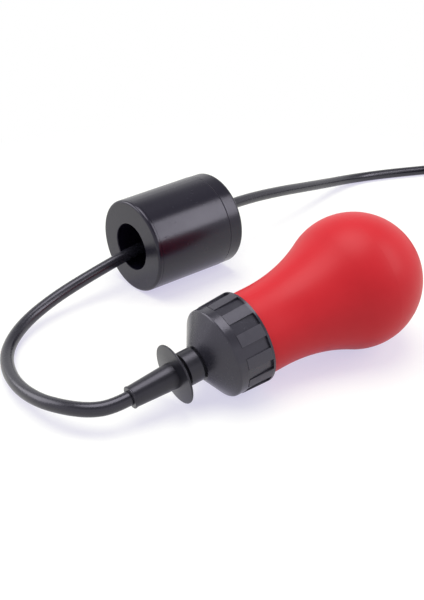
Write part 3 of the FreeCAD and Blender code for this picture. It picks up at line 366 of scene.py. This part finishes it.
BLACK_TINT = (0.90, 0.86, 1.0)
FINISHES = {
    "red_shell": finish_of(
        "red_float_plastic", (0.63, 0.023, 0.032), (0.57, 0.016, 0.025), (0.36, 0.48),
        grain=1800.0, patch=22.0, specular=0.20, scuffs=0.10),
    "black_plastic": finish_of(
        "black_cap_plastic", (0.030, 0.029, 0.039), (0.020, 0.019, 0.027), (0.18, 0.32),
        grain=2600.0, patch=60.0, specular=0.60, scuffs=0.15, tint=BLACK_TINT),
    "weight_plastic": finish_of(
        "black_weight_plastic", (0.007, 0.006, 0.014), (0.005, 0.004, 0.011), (0.20, 0.27),
        grain=2200.0, patch=30.0, bump=0.01, specular=0.50, scuffs=0.10, tint=BLACK_TINT),
    "boot_rubber": finish_of(
        "black_boot_rubber", (0.012, 0.012, 0.017), (0.008, 0.008, 0.012), (0.24, 0.38),
        grain=2800.0, patch=80.0, specular=0.55, tint=BLACK_TINT),
    "cable_rubber": finish_of(
        "black_cable_rubber", (0.014, 0.014, 0.020), (0.009, 0.009, 0.014), (0.20, 0.32),
        grain=3200.0, patch=90.0, bump=0.015, specular=0.65, scuffs=0.12, tint=BLACK_TINT),
    "seal_rubber": finish_of(
        "seal_rubber", (0.030, 0.030, 0.030), (0.022, 0.022, 0.022), (0.55, 0.7)),
    "washer_plastic": finish_of(
        "washer_nylon", (0.74, 0.73, 0.68), (0.68, 0.67, 0.62), (0.38, 0.5)),
    "capsule_plastic": finish_of(
        "capsule_plastic", (0.66, 0.66, 0.63), (0.60, 0.60, 0.57), (0.35, 0.48)),
    "cradle_plastic": finish_of(
        "cradle_plastic", (0.72, 0.70, 0.62), (0.66, 0.64, 0.56), (0.38, 0.52)),
    "switch_plastic": finish_of(
        "microswitch_plastic", (0.030, 0.030, 0.034), (0.022, 0.022, 0.026), (0.42, 0.55)),
    "plunger_plastic": finish_of(
        "plunger_plastic", (0.58, 0.05, 0.03), (0.5, 0.04, 0.025), (0.35, 0.45)),
    "spring_steel": finish_of(
        "spring_steel", (0.68, 0.68, 0.67), (0.60, 0.60, 0.60), (0.20, 0.34),
        grain=4000.0, bump=0.01, metallic=1.0),
    "ball_steel": finish_of(
        "polished_ball_steel", (0.74, 0.74, 0.74), (0.70, 0.70, 0.71), (0.06, 0.13),
        grain=3000.0, bump=0.002, metallic=1.0),
    "screw_steel": finish_of(
        "zinc_screw_steel", (0.66, 0.66, 0.64), (0.56, 0.57, 0.58), (0.26, 0.40),
        grain=3500.0, bump=0.01, metallic=1.0),
    "terminal_brass": finish_of(
        "terminal_brass", (0.80, 0.60, 0.26), (0.72, 0.52, 0.22), (0.22, 0.36),
        grain=3500.0, bump=0.01, metallic=1.0),
    "ferrule_tin": finish_of(
        "tinned_ferrule", (0.76, 0.76, 0.77), (0.68, 0.68, 0.70), (0.24, 0.38),
        grain=3500.0, bump=0.01, metallic=1.0),
    "core_brown_plastic": finish_of(
        "brown_core", (0.20, 0.075, 0.030), (0.16, 0.060, 0.024), (0.35, 0.48)),
    "core_blue_plastic": finish_of(
        "blue_core", (0.020, 0.100, 0.42), (0.015, 0.080, 0.35), (0.35, 0.48)),
    "core_black_plastic": finish_of(
        "black_core", (0.024, 0.024, 0.026), (0.018, 0.018, 0.02), (0.35, 0.48)),
    "cast_iron": finish_of(
        "cast_iron", (0.13, 0.13, 0.135), (0.08, 0.08, 0.085), (0.5, 0.75),
        grain=900.0, patch=120.0, bump=0.15, metallic=0.8),
}

# The counterweight's axis and its lid's seam: the seam's way along the axis from the origin, half
# its width, the roughness that it adds, and its depth in times the grain's own height.
WEIGHT_AXIS = (0.99423, 0.10630, 0.01450)
LID_SEAM_AT = 0.0577
LID_SEAM_HALF_WIDTH = 0.0005
LID_SEAM_ROUGHNESS = 0.6
LID_SEAM_DEPTH = 25.0


def mark_lid_seam(material):
    """A fine rough groove round the counterweight where its lid is pressed in."""
    tree = material.node_tree
    shader = tree.nodes["Principled BSDF"]
    along = place_group(tree, AXIS_PLACE, Axis=WEIGHT_AXIS).outputs["Along"]
    off = math_node(tree, "ABSOLUTE", math_node(tree, "SUBTRACT", along, LID_SEAM_AT))
    line = to_range(tree, off, 1.0, 0.0, LID_SEAM_HALF_WIDTH / 2, LID_SEAM_HALF_WIDTH)
    rough = shader.inputs["Roughness"].links[0].from_socket
    worn = math_node(tree, "MULTIPLY", line, LID_SEAM_ROUGHNESS)
    relink(tree, math_node(tree, "ADD", rough, worn), shader.inputs["Roughness"])
    relief = shader.inputs["Normal"].links[0].from_node
    height = relief.inputs["Height"].links[0].from_socket
    groove = math_node(tree, "MULTIPLY", line, LID_SEAM_DEPTH)
    relink(tree, math_node(tree, "SUBTRACT", height, groove), relief.inputs["Height"])


# The float's axis starts where the cable leaves the boot. The cap's grip pads are what lies
# further from the axis than PAD_RADIUS and not so far along it as PADS_END.
FLOAT_AXIS = (0.98846, 0.0, 0.15148)
PAD_RADIUS = 0.02774
PADS_END = 0.0777
PAD_EDGE = 0.0001
PAD_LIGHT = (0.046, 0.044, 0.056)
PAD_DARK = (0.034, 0.033, 0.043)
PAD_ROUGH = (0.40, 0.58)
PAD_GRAIN = 1600.0
PAD_PATCH = 250.0


def dull_grip_pads(material):
    """The raised grip pads of the cap are dull and paler, and the ground between them stays
    glossy."""
    tree = material.node_tree
    shader = tree.nodes["Principled BSDF"]
    place = place_group(tree, AXIS_PLACE, Start=CORD_ROUTE[0], Axis=FLOAT_AXIS)
    raised = to_range(tree, place.outputs["Away"], 0.0, 1.0,
                      PAD_RADIUS - PAD_EDGE / 2, PAD_RADIUS + PAD_EDGE / 2)
    before = to_range(tree, place.outputs["Along"], 1.0, 0.0, PADS_END - PAD_EDGE, PADS_END)
    pad = math_node(tree, "MULTIPLY", raised, before)
    grain = place_group(tree, MOULDED_GRAIN, Grain_per_metre=PAD_GRAIN, Patch_per_metre=PAD_PATCH)
    pad_tone = to_range(tree, grain.outputs["Tone"], 0.0, 1.0)
    pad_colour = blend_colours(tree, pad_tone, PAD_DARK, PAD_LIGHT)
    colour = shader.inputs["Base Color"].links[0].from_socket
    relink(tree, blend_colours(tree, pad, colour, pad_colour), shader.inputs["Base Color"])
    pad_rough = to_range(tree, grain.outputs["Roughness"], *PAD_ROUGH)
    rough = shader.inputs["Roughness"].links[0].from_socket
    relink(tree, blend_values(tree, pad, rough, pad_rough), shader.inputs["Roughness"])


def dress_cad_nodes():
    """Every CAD node gets the finish of its own slot in the record."""
    for part in frame["record"]["subparts"]:
        piece = frame["nodes"][part["node"]]
        finish = FINISHES[part["material_slot"]]
        if not piece.material_slots:
            piece.data.materials.append(finish)
        for held in piece.material_slots:
            held.material = finish


# Studio: a pale floor that keeps the shadows, a white surround, and three soft lamps.

FLOOR_HALF = 6.0
FLOOR_MATTE = (0.58, 0.57, 0.60)
SHADOW_GLOW = (0.56, 0.54, 0.70)
SHADOW_MIDDLE = (0.02, 0.08, 0.0)
SHADOW_REACH = (0.26, 0.42)
WHITE = (1.0, 1.0, 1.0)
BLACK = (0.0, 0.0, 0.0)
WORLD_LIGHT = 0.42
# Upward part of a direction where the surround's white starts to fall, and where it has fallen.
WHITE_UP_TO = (0.42, 0.72)
LAMP_AIM = (0.02, 0.09, 0.04)


def seen_directly(tree):
    """One where the ray is a camera, glossy or transmission ray, and nought elsewhere."""
    path = tree.nodes.new("ShaderNodeLightPath")
    first = math_node(tree, "MAXIMUM", path.outputs["Is Camera Ray"], path.outputs["Is Glossy Ray"])
    return math_node(tree, "MAXIMUM", first, path.outputs["Is Transmission Ray"])


def open_floor_mask(tree):
    """Nought on the floor round the object, rising smoothly to one further off."""
    place = tree.nodes.new("ShaderNodeTexCoord").outputs["Object"]
    away = vector_node(tree, "DISTANCE", place, SHADOW_MIDDLE)["Value"]
    return to_range(tree, away, 0.0, 1.0, *SHADOW_REACH, smooth=True)


def add_floor():
    """Light bounces off plain matte grey. Seen directly, the floor near the object is a lavender
    glow and as much matte as makes it white where no shadow falls, and further off it is white
    glow alone."""
    mesh = bpy.data.meshes.new("floor")
    mesh.from_pydata([(-FLOOR_HALF, -FLOOR_HALF, 0), (FLOOR_HALF, -FLOOR_HALF, 0),
                      (FLOOR_HALF, FLOOR_HALF, 0), (-FLOOR_HALF, FLOOR_HALF, 0)], [],
                     [(0, 1, 2, 3)])
    floor = bpy.data.objects.new("floor", mesh)
    bpy.context.scene.collection.objects.link(floor)
    material = bpy.data.materials.new("pale_floor")
    material.use_nodes = True
    tree = material.node_tree
    tree.nodes.remove(tree.nodes["Principled BSDF"])
    matte = tree.nodes.new("ShaderNodeBsdfDiffuse")
    matte.inputs["Color"].default_value = (*FLOOR_MATTE, 1)
    shadowed = tree.nodes.new("ShaderNodeBsdfDiffuse")
    glow = tree.nodes.new("ShaderNodeEmission")
    open_floor = open_floor_mask(tree)
    rest_of_white = tuple(1 - value for value in SHADOW_GLOW)
    tree.links.new(blend_colours(tree, open_floor, rest_of_white, BLACK), shadowed.inputs["Color"])
    tree.links.new(blend_colours(tree, open_floor, SHADOW_GLOW, WHITE), glow.inputs["Color"])
    seen = tree.nodes.new("ShaderNodeAddShader")
    tree.links.new(shadowed.outputs[0], seen.inputs[0])
    tree.links.new(glow.outputs[0], seen.inputs[1])
    mixed = tree.nodes.new("ShaderNodeMixShader")
    tree.links.new(seen_directly(tree), mixed.inputs["Fac"])
    tree.links.new(matte.outputs[0], mixed.inputs[1])
    tree.links.new(seen.outputs[0], mixed.inputs[2])
    tree.links.new(mixed.outputs[0], tree.nodes["Material Output"].inputs["Surface"])
    mesh.materials.append(material)


def set_world():
    """Even light for the object. Seen directly, the surround is white up to about 25 degrees above
    the floor and falls to the even light's own level at about 46 degrees."""
    world = bpy.data.worlds.new("white_surround")
    bpy.context.scene.world = world
    world.use_nodes = True
    tree = world.node_tree
    backdrop = tree.nodes["Background"]
    backdrop.inputs["Color"].default_value = (*WHITE, 1)
    direction = tree.nodes.new("ShaderNodeTexCoord").outputs["Generated"]
    height = tree.nodes.new("ShaderNodeSeparateXYZ")
    tree.links.new(direction, height.inputs["Vector"])
    low = to_range(tree, height.outputs["Z"], 1 - WORLD_LIGHT, 0.0, *WHITE_UP_TO, smooth=True)
    lift = math_node(tree, "MULTIPLY", seen_directly(tree), low)
    tree.links.new(math_node(tree, "ADD", WORLD_LIGHT, lift), backdrop.inputs["Strength"])


def add_sun(name, towards, angle, strength):
    """A sun that stands in the direction towards and is angle degrees across."""
    data = bpy.data.lights.new(name, "SUN")
    data.energy = strength
    data.angle = math.radians(angle)
    lamp = bpy.data.objects.new(name, data)
    lamp.rotation_euler = (-Vector(towards)).to_track_quat("-Z", "Y").to_euler()
    bpy.context.scene.collection.objects.link(lamp)


def add_softbox(name, towards, long_way, distance, width, length, power):
    """A rectangular lamp that lies in the direction towards, faces LAMP_AIM and has its length
    along long_way."""
    data = bpy.data.lights.new(name, "AREA")
    data.shape = "RECTANGLE"
    data.size = width
    data.size_y = length
    data.energy = power
    back = Vector(towards).normalized()
    side = Vector(long_way).cross(back).normalized()
    turn = Matrix((side, back.cross(side), back)).transposed()
    lamp = bpy.data.objects.new(name, data)
    lamp.matrix_world = Matrix.Translation(Vector(LAMP_AIM) + back * distance) @ turn.to_4x4()
    bpy.context.scene.collection.objects.link(lamp)


add_camera()
cable = add_cable()
mark_lid_seam(FINISHES["weight_plastic"])
dull_grip_pads(FINISHES["black_plastic"])
dress_cad_nodes()
cable.data.materials.append(FINISHES["cable_rubber"])
add_floor()
set_world()
# The strip draws the long streaks on the black pieces.
add_sun("soft_key", towards=(-0.02, 0.12, 1.0), angle=45.0, strength=1.95)
add_softbox("right_strip", towards=(0.61, -0.53, 0.59), long_way=(-0.05, 0.69, 0.73),
            distance=1.3, width=0.27, length=0.95, power=4.8)
add_softbox("left_softbox", towards=(-0.62, 0.62, 0.45), long_way=(0, 0, 1),
            distance=1.3, width=0.90, length=0.75, power=6.5)

scene = bpy.context.scene
scene.view_settings.view_transform = "Standard"
